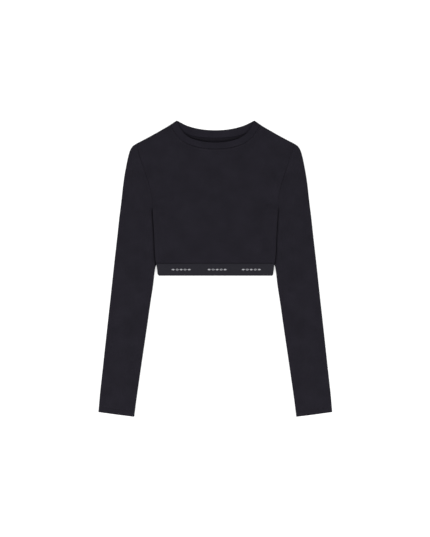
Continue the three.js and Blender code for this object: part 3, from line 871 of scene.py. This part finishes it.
def elastic_cloth(name, plain, lighter):
    """Smooth knitted elastic: fine upright ribs crossed by close picks."""
    dye = Dye(name)
    place, across, along = dye.grain()
    ribs, picks = (across * (1.0 / ELASTIC_RIB)).zigzag(), (along * (1.0 / ELASTIC_PICK)).zigzag()
    weave = ribs * 0.9 + picks * 0.5
    slub = dye.noise(place, 700.0, 2.0)
    cloud = dye.noise(place, 40.0, 2.0)
    # The colour goes lighter on the raised ribs and picks and darker between them, which is painted
    # shade; slub and cloud add random tone.
    shade = weave * 0.4 + (slub - 0.5) * 0.9 + (cloud - 0.5) * 0.6
    shade = shade.sum("MAXIMUM", shade, 0.0)
    constants = {
        "Specular IOR Level": 0.1,
        "Sheen Weight": 0.05,
        "Sheen Roughness": 0.4,
        "Sheen Tint": (0.8, 0.8, 0.95, 1.0),
    }
    colour, roughness = dye.tint(shade, plain, lighter), 0.62 + cloud * 0.15
    return dye.finish(colour, roughness, weave + slub * 0.4, 0.0002, constants)


elastic = elastic_cloth("black elastic", (0.0100, 0.0094, 0.0132), (0.0181, 0.0170, 0.0230))


def band_height(x, up):
    """The outer face of the hem band's front."""
    return lift(x, up) + ELASTIC_FOLDED + loft(x, up)


def hem_band(cell):
    """Rings of points from the band's lower edge to its upper one, each folded at both sides."""
    radius = ELASTIC_FOLDED / 2
    levels = np.array(LOW_ROWS + list(np.arange(6.0, 24.0, 2.5)) + HIGH_ROWS)
    fold = np.radians(np.linspace(90, 270, 13))
    shares = np.linspace(0, 1, round(HEM_RUN / cell))[1:-1]
    loops = []
    for up in levels:
        half = float(body_half(up))
        groove = 0.0
        for line in (SELVEDGE, BAND_HEIGHT - SELVEDGE):
            groove += SELVEDGE_DEPTH * math.exp(-(((up - line) / SELVEDGE_HALF) ** 2))
        flat = (half - radius) * (2 * shares - 1)
        right = half - radius * (1 + np.cos(fold))
        turn_z = radius + (radius - groove) * np.sin(fold)
        x = np.concatenate([flat, right, -flat, -right[::-1]])
        front_z = ELASTIC_FOLDED - groove + loft(flat, up)
        z = np.concatenate([front_z, turn_z, 0 * flat + groove, turn_z[::-1]])
        loops.append(np.stack([x, np.full_like(x, up), z + lift(x, up)], -1))
    outer = np.array(loops)
    grain = ring_grain(outer, levels)
    both = (elastic, elastic)
    band = cloth_wall("hem_band_elastic", outer, grain, ELASTIC, both, (True, True))
    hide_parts("hem_band")


hem_band(2.2)

# Thread. The neck seam is topstitched to the body in one row, and each cuff's turned hem is held by
# two rows. Every stitch is a short bar of polyester thread whose ends sink into the cloth.
STITCH, STITCH_STEP, STITCH_RISE, THREAD_RADIUS = 2.3, 2.9, 0.28, 0.25
CUFF_STITCHES_UP = (9.6, 12.4)


def bars(name, segments, radius):
    """Short bars of thread as one mesh.

    A segment is its two ends, the way out of the cloth, and how far its middle rises.
    """
    sides, rings = 6, np.array([0.0, 0.12, 0.35, 0.65, 0.88, 1.0])
    swell = np.sqrt(np.maximum(0.04, 1 - (2 * rings - 1) ** 4))
    points, faces = [], []
    for start, end, out, rise in segments:
        start, end, out = (np.asarray(v, float) for v in (start, end, out))
        run = (end - start) / np.linalg.norm(end - start)
        out = out - run * np.dot(out, run)
        out /= np.linalg.norm(out)
        side = np.cross(run, out)
        first = len(points)
        for t, s in zip(rings, swell):
            middle = start + (end - start) * t + out * (rise * (1 - (2 * t - 1) ** 2) - radius * 0.35)
            for k in range(sides):
                angle = 2 * math.pi * k / sides
                points.append(middle + (side * math.cos(angle) + out * math.sin(angle)) * radius * s)
        for r in range(len(rings) - 1):
            for k in range(sides):
                a, b = first + r * sides + k, first + r * sides + (k + 1) % sides
                faces.append((a, b, b + sides, a + sides))
        faces.append(tuple(first + k for k in range(sides))[::-1])
        faces.append(tuple(first + (len(rings) - 1) * sides + k for k in range(sides)))
    return smooth_piece(name, points, faces)


def row_of_stitches(path, out, is_ring=False):
    """Segments for stitches at even steps along a line of points, with the way out at each point."""
    if is_ring:
        path, out = np.concatenate([path, path[:1]]), np.concatenate([out, out[:1]])
    walked = np.concatenate([[0], np.cumsum(np.linalg.norm(np.diff(path, axis=0), axis=1))])
    count = int(walked[-1] / STITCH_STEP)
    step = walked[-1] / count
    at = lambda s, values: np.stack([np.interp(s, walked, values[:, k]) for k in range(3)], -1)
    starts = np.arange(count) * step + (step - STITCH) / 2
    ways_out = at(starts + STITCH / 2, out)
    rises = np.full(count, STITCH_RISE)
    return list(zip(at(starts, path), at(starts + STITCH, path), ways_out, rises))


def thread_dye(name, plain, lighter):
    """Polyester thread, a little smoother than the cloth."""
    dye = Dye(name)
    place = dye.read("ShaderNodeTexCoord", {}, {}, 3)
    ply = dye.noise(place, 2500.0, 1.0)
    colour, roughness = dye.tint(ply, plain, lighter), 0.45 + ply * 0.2
    return dye.finish(colour, roughness, ply, 0.0001, {"Specular IOR Level": 0.15})


black_thread = thread_dye("black thread", (0.0085, 0.0078, 0.0108), (0.0185, 0.0170, 0.0225))
# The same black thread for the stitches inside the neck, its colour darkened as painted shade for the
# shadow there.
shaded_inside_thread = thread_dye("black inside thread painted shade", (0.0050, 0.0045, 0.0066), (0.0105, 0.0095, 0.0130))

# Topstitching round the neck: one row on the front, one under the back and one inside it.
TOPSTITCH_FROM_SEAM, TOPSTITCH_END = 4.2, 0.985
stations = np.linspace(-TOPSTITCH_END, TOPSTITCH_END, 260)
at_width = 1 + TOPSTITCH_FROM_SEAM / NECKBAND_HEIGHT
front_x, front_up = neck_point(True, stations, at_width)
front_path = np.stack([front_x, front_up, front_height(front_x, front_up) + NECK_TURNING_HEIGHT], -1)
back_x, back_up = neck_point(False, stations, at_width)
inside_path = np.stack([back_x, back_up, np.full_like(back_x, JERSEY + NECK_TURNING_HEIGHT)], -1)
under_path = np.stack([back_x, back_up, np.zeros_like(back_x)], -1)
face_up, face_down = (np.tile([0.0, 0.0, z], (len(stations), 1)) for z in (1, -1))
outside_rows = row_of_stitches(front_path, face_up) + row_of_stitches(under_path, face_down)
bars("neck_topstitch", outside_rows, THREAD_RADIUS).data.materials.append(black_thread)
inside_row = row_of_stitches(inside_path, face_up)
inside_stitches = bars("neck_topstitch_inside", inside_row, THREAD_RADIUS)
inside_stitches.data.materials.append(shaded_inside_thread)

# Overlock inside the back neck: threads over the seam's turning, side by side and slightly aslant.
OVERLOCK_FROM, OVERLOCK_TO, OVERLOCK_END = 1.3, 6.2, 0.93
OVERLOCK_THREADS, OVERLOCK_SLANT, OVERLOCK_RISE, OVERLOCK_RADIUS = 150, 0.006, 0.45, 0.15
swing = np.linspace(-OVERLOCK_END, OVERLOCK_END, OVERLOCK_THREADS)
overlock_ends = []
for reach, lean, rise in (
    (OVERLOCK_FROM, 0.0, NECK_TURNING_HEIGHT - 0.1),
    (OVERLOCK_TO, OVERLOCK_SLANT, 0.05),
):
    x, up = neck_point(False, swing + lean, 1 + reach / NECKBAND_HEIGHT)
    overlock_ends.append(np.stack([x, up, np.full_like(swing, JERSEY + rise)], -1))
overlock = [(near, far, (0, 0, 1), OVERLOCK_RISE) for near, far in zip(*overlock_ends)]
bars("neck_overlock", overlock, OVERLOCK_RADIUS).data.materials.append(shaded_inside_thread)

# Coverstitch: two rows of thread round each cuff, over the edge of the turned hem.
cuffs = (("cuff_stitch_left", left_sleeve), ("cuff_stitch_right", right_sleeve))
for name, (outer, down, length) in cuffs:
    rows = []
    for from_edge in CUFF_STITCHES_UP:
        j = int(np.argmin(np.abs(length - down - from_edge)))
        ring = outer[j]
        ahead = np.roll(ring, -1, 0) - np.roll(ring, 1, 0)
        out = np.cross(ahead, outer[j + 1] - outer[j - 1])
        out /= np.linalg.norm(out, axis=1, keepdims=True)
        rows += row_of_stitches(ring, out, is_ring=True)
    bars(name, rows, THREAD_RADIUS).data.materials.append(black_thread)

# Woven motif. Pale satin bars in the elastic make a plain chain of lozenges, every second one with
# a hollow middle, three times across the front and three times across the back.
MOTIF_MIDDLES = (-78.4, 4.2, 82.6)
MOTIF_UP, MOTIF_HALF_HEIGHT = 13.0, 2.35
LOZENGES, LOZENGE_STEP, LOZENGE_HALF = 5, 9.2, 6.6
HOLLOW_HALF_HEIGHT, HOLLOW_HALF = 1.1, 2.6
BARS_ASIDE, BAR_STEP, BAR_RISE, BAR_RADIUS = 6, 0.62, 0.08, 0.34


def motif(is_front):
    """Segments for the bars of all the lozenges on one side of the band."""
    surface, out = (band_height, (0, 0, 1)) if is_front else (lift, (0, 0, -1))
    segments = []
    for middle in MOTIF_MIDDLES:
        for k in range(LOZENGES):
            centre = middle + (k - (LOZENGES - 1) / 2) * LOZENGE_STEP
            for n in range(-BARS_ASIDE, BARS_ASIDE + 1):
                x = centre + n * BAR_STEP
                tall = MOTIF_HALF_HEIGHT * (1 - abs(n) / LOZENGE_HALF)
                hollow = k % 2 * HOLLOW_HALF_HEIGHT * max(0.0, 1 - abs(n) / HOLLOW_HALF)
                spans = [(-tall, -hollow), (hollow, tall)] if hollow > 0 else [(-tall, tall)]
                for span in spans:
                    ends = [(x, MOTIF_UP + rise, surface(x, MOTIF_UP + rise)) for rise in span]
                    segments.append((*ends, out, BAR_RISE))
    return segments


pale_thread = thread_dye("pale woven thread", (0.28, 0.28, 0.30), (0.44, 0.44, 0.46))
for name, is_front in (("hem_band_motif_front", True), ("hem_band_motif_back", False)):
    bars(name, motif(is_front), BAR_RADIUS).data.materials.append(pale_thread)

# Studio. A plain pale surface that glows a little, so that it stays pale between the body and the
# sleeves, a pale room and two large soft lamps, one at each side and a little towards the hem. The
# camera looks straight down, and the long side of its frame is measured on the surface.
FRAME_LONG_SIDE = 1235.1
CAMERA_LENS, SENSOR = 100.0, 36.0
CAMERA_X, CAMERA_UP = -0.7, 0.46
FLOOR_REACH, FLOOR_AT, FLOOR_GLOW = 12.0, -0.0003, 0.5
WHITE = (1.0, 1.0, 1.0, 1.0)
ROOM_LIGHT, LAMP_SIZE = 0.68, 1.5

floor_mesh = bpy.data.meshes.new("floor")
quarters = ((-1, -1), (1, -1), (1, 1), (-1, 1))
corners = [(x * FLOOR_REACH, y * FLOOR_REACH, FLOOR_AT) for x, y in quarters]
floor_mesh.from_pydata(corners, [], [(0, 1, 2, 3)])
floor = added("floor", floor_mesh)
paper = Dye("pale paper")
tooth = paper.noise(paper.read("ShaderNodeTexCoord", {}, {}, 3), 60.0, 2.0)
shade = paper.tint(tooth, (0.58, 0.58, 0.58), (0.60, 0.60, 0.60))
glow = {"Specular IOR Level": 0.1, "Emission Color": WHITE, "Emission Strength": FLOOR_GLOW}
floor_mesh.materials.append(paper.finish(shade, 0.9 + tooth * 0.05, tooth, 0.0001, glow))

world = bpy.data.worlds.new("room")
world.use_nodes = True
world.node_tree.nodes["Background"].inputs[0].default_value = WHITE
world.node_tree.nodes["Background"].inputs[1].default_value = ROOM_LIGHT
bpy.context.scene.world = world

lamps = (("left lamp", (-2.6, -1.0, 2.5), 94.0), ("right lamp", (2.6, -1.4, 2.5), 80.0))
for name, at, power in lamps:
    lamp = bpy.data.lights.new(name, "AREA")
    lamp.size, lamp.energy = LAMP_SIZE, power
    holder = added(name, lamp)
    holder.location = at
    aim = holder.constraints.new("TRACK_TO")
    aim.target, aim.track_axis, aim.up_axis = floor, "TRACK_NEGATIVE_Z", "UP_Y"

camera_data = bpy.data.cameras.new("camera")
camera_data.lens = CAMERA_LENS
camera_data.sensor_fit = "VERTICAL"
camera_data.sensor_height = camera_data.sensor_width = SENSOR
camera = added("camera", camera_data)
camera.location = (CAMERA_X * MM, CAMERA_UP * MM, FRAME_LONG_SIDE * MM * CAMERA_LENS / SENSOR)
bpy.context.scene.camera = camera
bpy.context.scene.view_settings.view_transform = "Standard"
